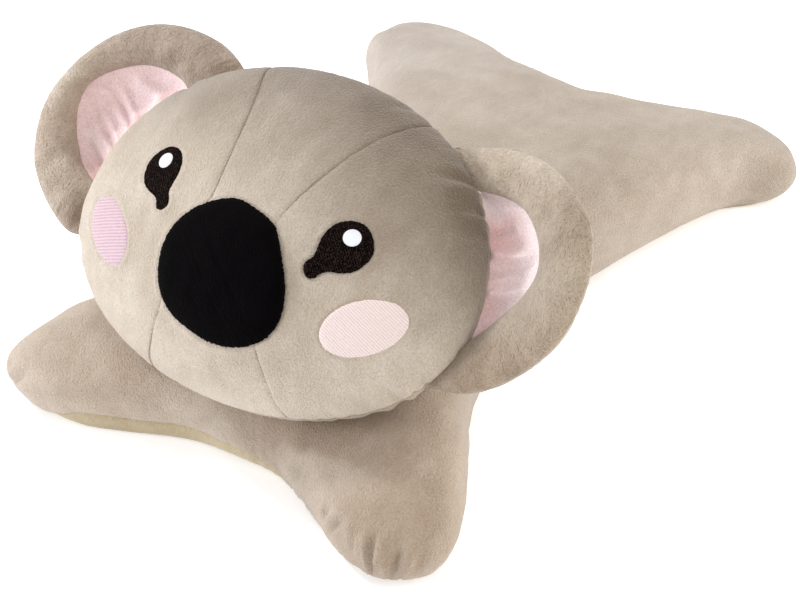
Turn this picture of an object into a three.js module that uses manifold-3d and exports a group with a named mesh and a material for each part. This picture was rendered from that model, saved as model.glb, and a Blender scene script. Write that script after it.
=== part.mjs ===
// A large plush koala that lies on its belly, arms and legs spread, with its head on its chest.
// Millimetres, +Z up. The koala faces -Y and +X is its left. The origin is on the floor, under
// the middle of the body's length.
//
// The body is one flat four-limbed cushion: a pile top panel sewn to a smooth belly panel. The
// head is a second cushion, tilted to look up, and it sinks into the top of the body. An ear is
// sewn into the rim seam on each side of the head.

import * as THREE from 'three';
import { mergeVertices } from 'three/addons/utils/BufferGeometryUtils.js';
import Module from 'manifold-3d';

const wasm = await Module();
wasm.setup();

// Clearances and fabric
const gap = 0.3; // between sewn or touching pieces
const pile = 3; // thickness of the short-pile fabric
const smooth = 2; // thickness of the belly fabric and of the ears' inner fabric
const overrun = 60; // how far a cutting solid passes what it cuts

// Body cushion
const body = {
  length: 807,
  width: 534,
  height: 128, // crown of the back above the floor
  seamHeight: 31, // the seam between top and belly panels
  endHeight: 63, // crown at the ends of the limbs, were they as full as the back
};

// Head cushion, in its own frame: x to the koala's left, y up the face, z out of the face
const head = {
  width: 398,
  crown: 167, // from the centre up to the rim
  chin: 137, // from the centre down to the rim
  faceDepth: 86,
  backDepth: 74,
  tiltDegrees: 41, // of the face, from looking straight up
  setBack: 157, // of the centre, behind the front paws' ends
  press: 13.74, // how deep the head sinks into the body
};

// Face panels, sewn along two curved seams from the crown to the chin
const bridgeWidth = 76; // of the centre panel, where it is narrowest

// Nose, a padded cap sewn on the face
const nose = { width: 124, height: 116, rise: 10, drop: 37, fabric: 2.2 };

// Embroidery: thread lies this thick on the fabric
const thread = 1;
const eye = { width: 47, height: 58, apart: 192, raise: 12 };
const glint = { diameter: 16, apart: 192, raise: 26 };
const cheek = { width: 70, height: 47, apart: 262, drop: 39, slantDegrees: 34 };

// Ears, in the head's frame
const ear = {
  width: 224,
  height: 219,
  apart: 340, // between the centres of the two round outlines
  raise: 51,
  thickness: 32,
  dish: 9, // how deep the inner panel sinks between the puffy edges
  innerDiameter: 122,
  innerOut: 5, // of the inner panel's centre from the ear's centre
  innerUp: 3,
  sweep: 18, // how far the ear's edge comes forward of the rim seam at its tip
  pinch: 30, // how far from the rim seam the ear is drawn thin
  foldDegrees: 15, // each way, about the line where it is sewn on
};

// Neck seam, a rolled seam allowance that the head turns on
const neck = { length: 64, diameter: 7 };

// Mesh fineness, in counts
const bodyColumns = 56;
const headColumns = 28;
const earColumns = 23;
const domeRings = 5;
const edgeRings = 2;

// Colours
const colours = {
  plush: 0xb5a791,
  belly: 0xb9ae8c,
  filling: 0xf1eee6,
  nose: 0x211f20,
  eye: 0x2b211d,
  glint: 0xf4f1ea,
  cheek: 0xd9b3ad,
  earInner: 0xd0a6a0,
  seam: 0x9a8c77,
};

// Solids and meshes

function toSolid(geometry, matrix = new THREE.Matrix4()) {
  const bare = geometry.clone();
  bare.deleteAttribute('normal');
  bare.deleteAttribute('uv');
  bare.applyMatrix4(matrix);
  const merged = mergeVertices(bare);
  return new wasm.Manifold(new wasm.Mesh({
    numProp: 3,
    vertProperties: merged.attributes.position.array,
    triVerts: Uint32Array.from(merged.index.array),
  }));
}

function toGeometry(solid) {
  const mesh = solid.getMesh();
  const geometry = new THREE.BufferGeometry();
  geometry.setAttribute('position', new THREE.BufferAttribute(mesh.vertProperties, 3));
  geometry.setIndex(new THREE.BufferAttribute(mesh.triVerts, 1));
  geometry.computeVertexNormals();
  return geometry;
}

function namedMesh(name, geometry, colour, roughness = 0.95) {
  const material = new THREE.MeshStandardMaterial({ color: colour, roughness, metalness: 0 });
  const mesh = new THREE.Mesh(geometry, material);
  mesh.name = name;
  return mesh;
}

// Stitches rings of points, listed from the top surface over the edge to the bottom surface and
// each counted anticlockwise from above, into one closed surface. A ring of one point is a pole.
// Every quad is split from its inner ring's point to its outer ring's next one, so that surfaces
// one inside another have parallel facets.
function skin(rings) {
  const starts = [];
  let count = 0;
  for (const ring of rings) {
    starts.push(count);
    count += ring.length;
  }
  const columns = Math.max(...rings.map((ring) => ring.length));
  const at = (row, j) => starts[row] + (rings[row].length === 1 ? 0 : j % columns);
  const across = (ring) => ring[0].distanceTo(ring[Math.floor(ring.length / 2)]);
  const triangles = [];
  for (let k = 0; k + 1 < rings.length; k += 1) {
    const widens = across(rings[k + 1]) >= across(rings[k]);
    for (let j = 0; j < columns; j += 1) {
      const [a, b, c, d] = [at(k, j), at(k + 1, j), at(k + 1, j + 1), at(k, j + 1)];
      if (rings[k].length === 1) {
        triangles.push(a, b, c);
      } else if (rings[k + 1].length === 1) {
        triangles.push(a, b, d);
      } else if (widens) {
        triangles.push(a, b, c, a, c, d);
      } else {
        triangles.push(a, b, d, b, c, d);
      }
    }
  }
  const geometry = new THREE.BufferGeometry().setFromPoints(rings.flat());
  geometry.setIndex(triangles);
  return geometry;
}

function mirrored(geometry) {
  const copy = geometry.clone().applyMatrix4(new THREE.Matrix4().makeScale(-1, 1, 1));
  const index = copy.index.array;
  for (let i = 0; i < index.length; i += 3) {
    [index[i], index[i + 1]] = [index[i + 1], index[i]];
  }
  copy.computeVertexNormals();
  return copy;
}

// Shares of the way out at which rings lie, closer together near the edge
const domeShares = Array.from({ length: domeRings }, (_, k) =>
  Math.sin(((k + 1) / domeRings) * (Math.PI / 2)));

function prism(points, low, high) {
  const shape = new THREE.Shape(points);
  const geometry = new THREE.ExtrudeGeometry(shape, { depth: high - low, bevelEnabled: false });
  return geometry.translate(0, 0, low);
}

// Body outline

// Half of the outline, from the front notch round one arm and one leg to the rear notch, as
// shares of half the width and half the length
const outlineShares = [
  [0, -0.845], [0.178, -0.85], [0.365, -0.912], [0.625, -1], [0.77, -0.98], [0.88, -0.905],
  [0.813, -0.729], [0.627, -0.496], [0.51, -0.224], [0.5, 0.012], [0.564, 0.217], [0.684, 0.487],
  [0.85, 0.698], [1, 0.808], [0.905, 0.953], [0.659, 1], [0.427, 0.939], [0, 0.862],
];
const middleShare = -0.06; // of half the length: where the body's cushion is centred

function bodyOutline() {
  const near = outlineShares.map(([x, y]) => new THREE.Vector3(x, y, 0));
  const far = near.slice(1, -1).reverse().map((p) => new THREE.Vector3(-p.x, p.y, 0));
  const curve = new THREE.CatmullRomCurve3([...near, ...far], true, 'centripetal');
  const half = [];
  for (let j = 0; j <= bodyColumns / 2; j += 1) {
    half.push(curve.getPointAt(j / bodyColumns));
  }
  half[0].x = 0;
  half[half.length - 1].x = 0;
  const widest = Math.max(...half.map((p) => p.x));
  const front = Math.min(...half.map((p) => p.y));
  const rear = Math.max(...half.map((p) => p.y));
  const place = (p) => new THREE.Vector2(
    (p.x / widest) * (body.width / 2),
    ((2 * (p.y - front)) / (rear - front) - 1) * (body.length / 2),
  );
  const left = half.map(place);
  const right = left.slice(1, -1).reverse().map((p) => new THREE.Vector2(-p.x, p.y));
  return [...left, ...right];
}

const outline = bodyOutline();
const middle = new THREE.Vector2(0, middleShare * (body.length / 2));

// The outline drawn in by a distance, along its own normals
function outlineInset(inset) {
  return outline.map((p, j) => {
    const before = outline[(j + outline.length - 1) % outline.length];
    const after = outline[(j + 1) % outline.length];
    const along = after.clone().sub(before).normalize();
    return new THREE.Vector2(p.x - along.y * inset, p.y + along.x * inset);
  });
}

const crownShare = 4; // exponent of the body's crown: higher is flatter on top
const taperShare = 1.6; // exponent of the crown's fall along the limbs

function crownHeight(y) {
  const away = Math.abs(y - middle.y) / (body.length / 2);
  return THREE.MathUtils.lerp(body.height, body.endHeight, away ** taperShare);
}

function bodyTop(share, y, inset) {
  const rise = crownHeight(y) - inset - body.seamHeight;
  return body.seamHeight + rise * Math.sqrt(Math.max(0, 1 - share ** crownShare));
}

const floorShare = 0.84; // of the way out, up to which the belly lies flat

const roundingShare = 0.8; // how much narrower than the outline the rings are towards the limbs
const spineShare = 0.5; // of the body's length, along which the rings lie round a line

// A ring of points between the spine and an edge, the outline drawn in or not. Each point's height
// is that of the place on the whole outline's ring.
function bodyRing(edge, share, height) {
  const meanReach = outline.reduce((sum, p) => sum + p.distanceTo(middle), 0) / outline.length;
  const along = THREE.MathUtils.lerp(spineShare, 1, share);
  return edge.map((p, j) => {
    const even = Math.min(1, meanReach / outline[j].distanceTo(middle));
    const out = share * THREE.MathUtils.lerp(1, even, roundingShare * (1 - share));
    const place = (end) => new THREE.Vector2(
      THREE.MathUtils.lerp(middle.x, end.x, out),
      THREE.MathUtils.lerp(middle.y, end.y, along),
    );
    const q = place(p);
    return new THREE.Vector3(q.x, q.y, height(place(outline[j]).y));
  });
}

function topRings(inset) {
  const edge = outlineInset(inset);
  const pole = new THREE.Vector3(middle.x, middle.y, bodyTop(0, middle.y, inset));
  const rings = domeShares.slice(0, -1).map((share) =>
    bodyRing(edge, share, (y) => bodyTop(share, y, inset)));
  return [[pole], ...rings];
}

function bottomRings(inset) {
  const edge = outlineInset(inset);
  const rings = [];
  for (let k = edgeRings - 1; k >= 0; k -= 1) {
    const turn = (k / edgeRings) * (Math.PI / 2);
    const share = floorShare + (1 - floorShare) * Math.sin(turn);
    const height = inset + (body.seamHeight - inset) * (1 - Math.cos(turn));
    rings.push(bodyRing(edge, share, () => height));
  }
  return [...rings, [new THREE.Vector3(middle.x, middle.y, inset)]];
}

// The whole cushion, drawn in by a distance
function bodySolid(inset) {
  const rim = bodyRing(outlineInset(inset), 1, () => body.seamHeight);
  return toSolid(skin([...topRings(inset), rim, ...bottomRings(inset)]));
}

// The part of the cushion above the seam, down to a level base
function topSolid(inset, base) {
  const edge = outlineInset(inset);
  const rim = bodyRing(edge, 1, () => body.seamHeight + gap / 2);
  const foot = bodyRing(edge, 1, () => base);
  const pole = [new THREE.Vector3(middle.x, middle.y, base)];
  const walls = base < body.seamHeight + gap / 2 ? [rim, foot] : [rim];
  return toSolid(skin([...topRings(inset), ...walls, pole]));
}

// The belly panel, an open tray
function bellyPanel() {
  const rimHeight = body.seamHeight - gap / 2;
  const inner = bottomRings(smooth).reverse();
  const innerRim = bodyRing(outlineInset(smooth), 1, () => rimHeight);
  const outerRim = bodyRing(outlineInset(0), 1, () => rimHeight);
  return skin([...inner, innerRim, outerRim, ...bottomRings(0)]);
}

// Head cushion

const rimShare = 2.06; // exponent of the head's outline: 2 is an ellipse
const facePuffShare = 1.26; // exponents of the face's dome
const faceEdgeShare = 0.51;
const backEdgeShare = 0.58;

function rimPoint(angle, grow) {
  const c = Math.cos(angle);
  const s = Math.sin(angle);
  const reach = (s > 0 ? head.crown : head.chin) + grow;
  const x = Math.sign(c) * (head.width / 2 + grow) * Math.abs(c) ** (2 / rimShare);
  return new THREE.Vector2(x, Math.sign(s) * reach * Math.abs(s) ** (2 / rimShare));
}

// How far out a point of the head lies: 0 at the centre, 1 at the rim
function outwardShare(x, y, grow = 0) {
  const reach = (y > 0 ? head.crown : head.chin) + grow;
  const across = Math.abs(x / (head.width / 2 + grow)) ** rimShare;
  return (across + Math.abs(y / reach) ** rimShare) ** (1 / rimShare);
}

function faceHeight(share, grow = 0) {
  const edge = Math.max(0, 1 - Math.min(1, share) ** facePuffShare);
  return (head.faceDepth + grow) * edge ** faceEdgeShare;
}

function backHeight(share, grow = 0) {
  return -(head.backDepth + grow) * Math.max(0, 1 - Math.min(1, share) ** 2) ** backEdgeShare;
}

function headRim(grow) {
  return Array.from({ length: headColumns }, (_, j) =>
    rimPoint(((j + 0.5) / headColumns) * 2 * Math.PI, grow));
}

function headRings(grow, height) {
  const rim = headRim(grow);
  const rings = domeShares.slice(0, -1).map((share) =>
    rim.map((p) => new THREE.Vector3(p.x * share, p.y * share, height(share, grow))));
  return [[new THREE.Vector3(0, 0, height(0, grow))], ...rings];
}

const levelRim = (grow, z) => headRim(grow).map((p) => new THREE.Vector3(p.x, p.y, z));

// The whole head, grown by a distance
function headShape(grow) {
  const rims = [levelRim(grow, gap / 2), levelRim(grow, -gap / 2)];
  return skin([...headRings(grow, faceHeight), ...rims, ...headRings(grow, backHeight).reverse()]);
}

function faceShell() {
  const inner = headRings(-pile, faceHeight).reverse();
  const rims = [levelRim(0, gap / 2), levelRim(-pile, gap / 2)];
  return toSolid(skin([...headRings(0, faceHeight), ...rims, ...inner]));
}

function backShell() {
  const inner = headRings(-pile, backHeight);
  const rims = [levelRim(-pile, -gap / 2), levelRim(0, -gap / 2)];
  return skin([...inner, ...rims, ...headRings(0, backHeight).reverse()]);
}

// Height of the body's top along its middle
function groundHeight(y) {
  const reach = y < middle.y ? middle.y - outline[0].y : outline[bodyColumns / 2].y - middle.y;
  const share = (Math.abs(y - middle.y) / reach - spineShare) / (1 - spineShare);
  return bodyTop(THREE.MathUtils.clamp(share, 0, 1), y, 0);
}

// The head rests on the body: it comes down until its back sinks in by head.press
const headForward = body.length / 2 - head.setBack;

function headCentreHeight() {
  const tilt = THREE.MathUtils.degToRad(head.tiltDegrees);
  const samples = 60;
  let height = 0;
  for (let k = 0; k <= samples; k += 1) {
    const share = k / samples;
    const up = -head.chin * share;
    const out = backHeight(share);
    const y = -headForward + up * Math.cos(tilt) - out * Math.sin(tilt);
    const above = up * Math.sin(tilt) + out * Math.cos(tilt);
    height = Math.max(height, groundHeight(y) - above);
  }
  return height - head.press;
}

const headGroup = new THREE.Group();
headGroup.position.set(0, -headForward, headCentreHeight());
headGroup.rotation.x = THREE.MathUtils.degToRad(head.tiltDegrees);
headGroup.updateMatrixWorld();
const headSolid = (grow) => toSolid(headShape(grow));
const pocket = (grow) => toSolid(headShape(grow), headGroup.matrixWorld);

// Face panels

// Half the width of the centre panel down the face: height as a share of the crown above the
// centre or of the chin below it, and half width as a share of half the bridge's width
const seamShares = [
  [1.3, 2.9], [0.9, 2.2], [0.71, 1.8], [0.53, 1.4], [0.29, 1.13], [0.02, 1],
  [-0.3, 1.02], [-0.6, 1.21], [-0.71, 1.37], [-0.83, 1.6], [-1.3, 2],
];

function centrePrism(grow) {
  const edge = new THREE.CatmullRomCurve3(seamShares.map(([up, out]) => new THREE.Vector3(
    out * (bridgeWidth / 2) + grow,
    up * (up > 0 ? head.crown : head.chin),
    0,
  ))).getPoints(seamShares.length + 3);
  const left = edge.map((p) => new THREE.Vector2(p.x, p.y));
  const right = left.map((p) => new THREE.Vector2(-p.x, p.y)).reverse();
  return toSolid(prism([...left, ...right].reverse(), -overrun, head.faceDepth + overrun));
}

function sideBox(side) {
  const size = 2 * head.width;
  const box = new THREE.BoxGeometry(size, size, size);
  return toSolid(box.translate(side * (size / 2), 0, 0));
}

function facePanels() {
  const shell = faceShell();
  const cheeks = shell.subtract(centrePrism(gap / 2));
  return [
    ['face_centre_panel', toGeometry(shell.intersect(centrePrism(-gap / 2))), colours.plush],
    ['face_side_panel_left', toGeometry(cheeks.intersect(sideBox(1))), colours.plush],
    ['face_side_panel_right', toGeometry(cheeks.intersect(sideBox(-1))), colours.plush],
  ];
}

// Nose

const noseColumns = 18;
const noseRingShares = [0.5, 0.85, 1];
const noseLeanShare = 0.12; // how much wider the nose is below its middle

function nosePoint(angle, inset) {
  const c = Math.cos(angle);
  const s = Math.sin(angle);
  const half = (nose.width / 2 - inset) * (1 - noseLeanShare * s);
  return new THREE.Vector2(half * c, (nose.height / 2 - inset) * s - nose.drop);
}

// A lens that follows the face, from below its surface to a rounded top
function noseLens(rise, inset) {
  const ring = (share, lift) => Array.from({ length: noseColumns }, (_, j) => {
    const edge = nosePoint((j / noseColumns) * 2 * Math.PI, inset);
    const x = edge.x * share;
    const y = -nose.drop + (edge.y + nose.drop) * share;
    return new THREE.Vector3(x, y, faceHeight(outwardShare(x, y)) + gap + lift(share));
  });
  const lift = (share) => rise * Math.sqrt(1 - (0.97 * share) ** 3);
  const top = new THREE.Vector3(0, -nose.drop, faceHeight(outwardShare(0, -nose.drop)) + gap + rise);
  const rings = noseRingShares.map((share) => ring(share, lift));
  const foot = ring(1, () => -nose.rise);
  const base = [new THREE.Vector3(0, -nose.drop, top.z - rise - 2 * nose.rise)];
  return toSolid(skin([[top], ...rings, foot, base]));
}

function nosePieces() {
  const face = headSolid(gap);
  const outer = noseLens(nose.rise, 0);
  const hollow = noseLens(nose.rise - nose.fabric, nose.fabric);
  const fill = noseLens(nose.rise - nose.fabric - gap, nose.fabric + gap);
  return [
    ['nose_cover', toGeometry(outer.subtract(hollow).subtract(face)), colours.nose],
    ['nose_padding', toGeometry(fill.subtract(face)), colours.filling],
  ];
}

// Embroidery

// The left eye's outline, a drop with its tip towards the nose, as shares of half its size
const eyeShares = [
  [-0.2, 1], [0.35, 0.88], [0.72, 0.5], [0.9, 0.05], [0.76, -0.22], [0.3, -0.42],
  [-0.3, -0.62], [-0.55, -0.95], [-0.85, -1], [-1, -0.8], [-0.92, -0.4], [-0.88, 0.15], [-0.7, 0.65],
];

function stretched(points, size, centre) {
  return points.map(([x, y]) => new THREE.Vector2(
    centre.x + (x * size.width) / 2,
    centre.y + (y * size.height) / 2,
  ));
}

function ellipsePoints(size, centre, slantDegrees, count) {
  const pivot = new THREE.Vector2(centre.x, centre.y);
  return Array.from({ length: count }, (_, k) => {
    const angle = (k / count) * 2 * Math.PI;
    const x = centre.x + (size.width / 2) * Math.cos(angle);
    const y = centre.y + (size.height / 2) * Math.sin(angle);
    const point = new THREE.Vector2(x, y);
    return point.rotateAround(pivot, THREE.MathUtils.degToRad(slantDegrees));
  });
}

// A layer of thread on the face, between two heights over its fabric
function faceLayer(points, low, high) {
  const block = toSolid(prism(points, 0, head.faceDepth + overrun));
  return block.intersect(headSolid(high)).subtract(headSolid(low));
}

function embroidery() {
  const eyePoints = stretched(eyeShares, eye, { x: eye.apart / 2, y: eye.raise }).reverse();
  const glintSize = { width: glint.diameter, height: glint.diameter };
  const glintPoints = ellipsePoints(glintSize, { x: glint.apart / 2, y: glint.raise }, 0, 12);
  const cheekPoints = ellipsePoints(cheek, { x: cheek.apart / 2, y: -cheek.drop },
    cheek.slantDegrees, 20);
  const left = [
    ['eye', faceLayer(eyePoints, gap, gap + thread), colours.eye],
    ['eye_glint', faceLayer(glintPoints, 2 * gap + thread, 2 * (gap + thread)), colours.glint],
    ['cheek', faceLayer(cheekPoints, gap, gap + thread), colours.cheek],
  ];
  return left.flatMap(([name, solid, colour]) => {
    const geometry = toGeometry(solid);
    return [
      [`${name}_left`, geometry, colour],
      [`${name}_right`, mirrored(geometry), colour],
    ];
  });
}

// Ears, each a crescent cushion between its round outline and the head's rim seam

const earFrontShare = 0.5; // of the thickness that lies in front of the ear's own seam
const earPuffShare = 2.4; // exponent of the ear's section: higher is fuller at the edge
const heartShares = [0.36, 0.05]; // of the width and height: the middle of its rings, off the centre
const pinchedShare = 0.4; // of the thickness that is left at the root
const rootReachShare = 0.4; // of the ear's height, over which its edge leaves the rim seam

const earCentre = new THREE.Vector2(ear.apart / 2, ear.raise);
const roundPoint = (angle) => new THREE.Vector2(
  earCentre.x + (ear.width / 2) * Math.cos(angle),
  earCentre.y + (ear.height / 2) * Math.sin(angle),
);

// The angle on the ear's round outline, between two others, at which it meets the head's rim
function junction(outside, inside) {
  let [free, held] = [outside, inside];
  for (let step = 0; step < 40; step += 1) {
    const half = (free + held) / 2;
    const p = roundPoint(half);
    if (outwardShare(p.x, p.y, gap) > 1) {
      free = half;
    } else {
      held = half;
    }
  }
  return free;
}

const topJunction = junction(Math.PI / 4, Math.PI);
const lowJunction = junction(-Math.PI / 4, -Math.PI);

function polarAngle(p) {
  const reach = p.y > 0 ? head.crown : head.chin;
  const up = Math.abs(p.y / reach) ** (rimShare / 2);
  const across = Math.abs(p.x / (head.width / 2)) ** (rimShare / 2);
  return Math.sign(p.y) * Math.atan2(up, across);
}

function earOutline() {
  const outerCount = Math.round(earColumns * 0.62);
  const rootCount = earColumns - outerCount;
  const points = [];
  for (let k = 0; k < outerCount; k += 1) {
    points.push(roundPoint(THREE.MathUtils.lerp(lowJunction, topJunction, k / outerCount)));
  }
  const from = polarAngle(roundPoint(topJunction));
  const to = polarAngle(roundPoint(lowJunction));
  for (let k = 0; k < rootCount; k += 1) {
    points.push(rimPoint(THREE.MathUtils.lerp(from, to, k / rootCount), gap));
  }
  return points;
}

// The ear folds on the line that touches the rim seam, parallel to the line between the ear's ends
const earTop = roundPoint(topJunction);
const earLow = roundPoint(lowJunction);
const foldLine = earTop.clone().sub(earLow).normalize();
const foldOut = new THREE.Vector2(foldLine.y, -foldLine.x);
const foldPoint = Array.from({ length: 181 }, (_, k) =>
  rimPoint(THREE.MathUtils.degToRad(k - 90), gap))
  .reduce((best, p) => (p.dot(foldOut) > best.dot(foldOut) ? p : best));

const earOutlinePoints = earOutline();
const earHeart = new THREE.Vector2(
  earCentre.x + heartShares[0] * ear.width,
  earCentre.y + heartShares[1] * ear.height,
);
const rootSink = pile; // the ear's own seam lies this far behind the rim seam at its root

// 0 at the head's rim, rising smoothly to 1 at a distance from it
function clearOfRim(p, reach) {
  const free = (outwardShare(p.x, p.y, gap) - 1) * head.crown;
  return THREE.MathUtils.smoothstep(free, 0, reach);
}

// Depth of the ear's own seam surface: at the root it is at the rim seam, and it comes forward
// towards the tip
function earSeamDepth(p) {
  const beyond = p.clone().sub(foldPoint).dot(foldOut);
  const reach = foldPoint.clone().sub(new THREE.Vector2(earCentre.x + ear.width / 2, earCentre.y));
  const plane = -ear.sweep + ((2 * ear.sweep) / reach.length()) * beyond;
  return THREE.MathUtils.lerp(-rootSink, plane, clearOfRim(p, rootReachShare * ear.height));
}

function earDish(p) {
  const inner = new THREE.Vector2(earCentre.x + ear.innerOut, earCentre.y + ear.innerUp);
  const share = Math.min(1, p.distanceTo(inner) / (ear.innerDiameter / 2));
  return ear.dish * (1 - share * share);
}

function earRing(share, inset, side) {
  const drawnIn = share > 0.9 ? share * (1 - inset / (ear.width / 4)) : share;
  return earOutlinePoints.map((edge) => {
    const p = earHeart.clone().lerp(edge, drawnIn);
    const drawn = THREE.MathUtils.lerp(pinchedShare, 1, clearOfRim(p, ear.pinch));
    const swell = drawn * Math.sqrt(Math.max(0, 1 - share ** earPuffShare));
    const front = ear.thickness * earFrontShare - inset;
    const back = ear.thickness * (1 - earFrontShare) - inset;
    const height = side > 0 ? (front - earDish(p)) * swell : -back * swell;
    return new THREE.Vector3(p.x, p.y, earSeamDepth(p) + height);
  });
}

function earRings(inset, side) {
  const shares = [0.5, 0.86];
  const pole = earRing(0, inset, side)[0];
  return [[pole], ...shares.map((share) => earRing(share, inset, side))];
}

function shifted(ring, z) {
  return ring.map((p) => new THREE.Vector3(p.x, p.y, p.z + z));
}

// Everything in front of the ear within its inner panel's edge: a half circle that runs straight
// back to the head
function innerWindow(grow) {
  const steps = 12;
  const radius = ear.innerDiameter / 2 + grow;
  const centre = new THREE.Vector2(earCentre.x + ear.innerOut, earCentre.y + ear.innerUp);
  const points = Array.from({ length: steps + 1 }, (_, k) => {
    const angle = (k / steps - 0.5) * Math.PI;
    return new THREE.Vector2(radius, 0).rotateAround(new THREE.Vector2(), angle).add(centre);
  });
  points.push(new THREE.Vector2(0, centre.y + radius), new THREE.Vector2(0, centre.y - radius));
  return toSolid(prism(points, -overrun, overrun));
}

// The folds, as shares of the widest, at which the ear is trimmed clear of the head
const foldStopShares = [-1, -0.35, 1];

// The head as the ear sees it when the ear is folded by an angle
function headTurned(degrees, grow) {
  const pivot = new THREE.Vector3(foldPoint.x, foldPoint.y, 0);
  const axis = new THREE.Vector3(foldLine.x, foldLine.y, 0);
  const turn = new THREE.Matrix4().makeTranslation(pivot)
    .multiply(new THREE.Matrix4().makeRotationAxis(axis, THREE.MathUtils.degToRad(degrees)))
    .multiply(new THREE.Matrix4().makeTranslation(pivot.clone().negate()));
  return toSolid(headShape(grow), turn);
}

function earPieces() {
  const edge = (inset) => earRing(1, inset, 0);
  const front = toSolid(skin([
    ...earRings(0, 1), shifted(edge(0), gap / 2),
    shifted(edge(pile), gap / 2), ...earRings(pile, 1).reverse(),
  ]));
  const back = toSolid(skin([
    ...earRings(pile, -1), shifted(edge(pile), -gap / 2),
    shifted(edge(0), -gap / 2), ...earRings(0, -1).reverse(),
  ]));
  const stuffing = pile + 2 * gap;
  const fill = toSolid(skin([
    ...earRings(stuffing, 1), edge(2 * pile), ...earRings(stuffing, -1).reverse(),
  ]));
  const pieces = [
    ['ear_outer_panel', front.subtract(innerWindow(gap / 2)), colours.plush],
    ['ear_inner_panel', front.intersect(innerWindow(-gap / 2)), colours.earInner],
    ['ear_back_panel', back, colours.plush],
    ['ear_filling', fill, colours.filling],
  ];
  const trim = (solid, grow) => foldStopShares.reduce(
    (left, share) => left.subtract(headTurned(share * ear.foldDegrees, grow)),
    solid,
  );
  return pieces.map(([name, solid, colour]) => {
    const grow = name === 'ear_filling' ? 4 * gap : 3 * gap;
    return [name, toGeometry(trim(solid, grow)), colour];
  });
}

// Body pieces

// Where an arm or leg joins the trunk: the notch end and the armpit end of a level line, as
// shares of half the width and half the length
const limbRootShares = {
  arm: [[0.1, -0.8], [0.6, -0.36]],
  leg: [[0.2, 0.9], [0.62, 0.18]],
};

function limbBlock(kind, side, shift) {
  const [notch, pit] = limbRootShares[kind].map(([x, y]) =>
    new THREE.Vector2(x * (body.width / 2), y * (body.length / 2)));
  const along = pit.clone().sub(notch).normalize();
  const out = kind === 'arm'
    ? new THREE.Vector2(along.y, -along.x)
    : new THREE.Vector2(-along.y, along.x);
  const size = body.length;
  const centre = notch.clone().add(pit).multiplyScalar(0.5).addScaledVector(out, size / 2 + shift);
  const box = new THREE.BoxGeometry(size, size, size);
  box.rotateZ(Math.atan2(out.y, side * out.x));
  return toSolid(box.translate(side * centre.x, centre.y, 0));
}

function bodyFillings() {
  const inset = pile + gap;
  const whole = bodySolid(inset).subtract(pocket(inset + gap));
  const limbs = [['arm', 1], ['arm', -1], ['leg', 1], ['leg', -1]];
  let trunk = whole;
  const pieces = limbs.map(([kind, side]) => {
    trunk = trunk.subtract(limbBlock(kind, side, -gap / 2));
    const name = `${kind}_filling_${side > 0 ? 'left' : 'right'}`;
    return [name, toGeometry(whole.intersect(limbBlock(kind, side, gap / 2))), colours.filling];
  });
  return [['trunk_filling', toGeometry(trunk), colours.filling], ...pieces];
}

function topPanel() {
  const outside = topSolid(0, body.seamHeight + gap / 2).subtract(pocket(gap));
  const inside = topSolid(pile, body.seamHeight - overrun / 2).subtract(pocket(gap + pile));
  return toGeometry(outside.subtract(inside));
}

// Neck seam

const neckStations = [-0.5, -0.25, 0, 0.25, 0.5]; // places along the roll, as shares of its length

// The limit of a surface along the roll, straight above or below a line in plan
function surfaceLimit(mesh, y, fromZ, direction) {
  const heights = neckStations.map((share) => {
    const from = new THREE.Vector3(share * neck.length, y, fromZ);
    const [hit] = new THREE.Raycaster(from, direction).intersectObject(mesh);
    return hit ? hit.point.z : fromZ;
  });
  return direction.z < 0 ? Math.max(...heights) : Math.min(...heights);
}

// The roll lies across the back of the neck, in the wedge behind the place where the head rests,
// as far forward as it goes with a gap above and below
function neckPlace() {
  const ground = new THREE.Mesh(toGeometry(topSolid(0, body.seamHeight + gap / 2)));
  const cover = new THREE.Mesh(headShape(0));
  cover.geometry.applyMatrix4(headGroup.matrixWorld);
  const reach = neck.diameter / 2 + gap;
  const steps = 16;
  const samples = Array.from({ length: Math.ceil((steps * head.crown) / neck.diameter) }, (_, k) => {
    const y = headGroup.position.y + (k / steps) * neck.diameter;
    return {
      y,
      floor: surfaceLimit(ground, y, 2 * body.height, new THREE.Vector3(0, 0, -1)),
      roof: surfaceLimit(cover, y, 0, new THREE.Vector3(0, 0, 1)),
    };
  });
  for (const { y } of samples) {
    const close = samples.filter((sample) => Math.abs(sample.y - y) <= reach);
    const half = (sample) => Math.sqrt(reach ** 2 - (sample.y - y) ** 2);
    const low = Math.max(...close.map((sample) => sample.floor + half(sample)));
    const high = Math.min(...close.map((sample) => sample.roof - half(sample)));
    if (high >= low) {
      return new THREE.Vector3(0, y, (low + high) / 2);
    }
  }
  return new THREE.Vector3(0, headGroup.position.y + head.crown, body.height);
}

function neckSeam() {
  const roll = new THREE.CylinderGeometry(neck.diameter / 2, neck.diameter / 2, neck.length, 12);
  return roll.rotateZ(Math.PI / 2);
}

// Assembly

function addPieces(group, pieces) {
  for (const [name, geometry, colour] of pieces) {
    group.add(namedMesh(name, geometry, colour));
  }
}

const koala = new THREE.Group();
addPieces(koala, [
  ['body_top_panel', topPanel(), colours.plush],
  ['body_belly_panel', bellyPanel(), colours.belly],
  ...bodyFillings(),
]);

addPieces(headGroup, [
  ['head_back_panel', backShell(), colours.plush],
  ...facePanels(),
  ['head_filling', headShape(-pile - gap), colours.filling],
  ...nosePieces(),
  ...embroidery(),
]);

for (const side of [1, -1]) {
  const name = side > 0 ? 'left' : 'right';
  const pieces = earPieces().map(([piece, geometry, colour]) =>
    [`${piece}_${name}`, side > 0 ? geometry : mirrored(geometry), colour]);
  addPieces(headGroup, pieces);
}
koala.add(headGroup);

const neckMesh = namedMesh('neck_seam', neckSeam(), colours.seam);
neckMesh.position.copy(neckPlace());
koala.add(neckMesh);

export default koala;
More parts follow.
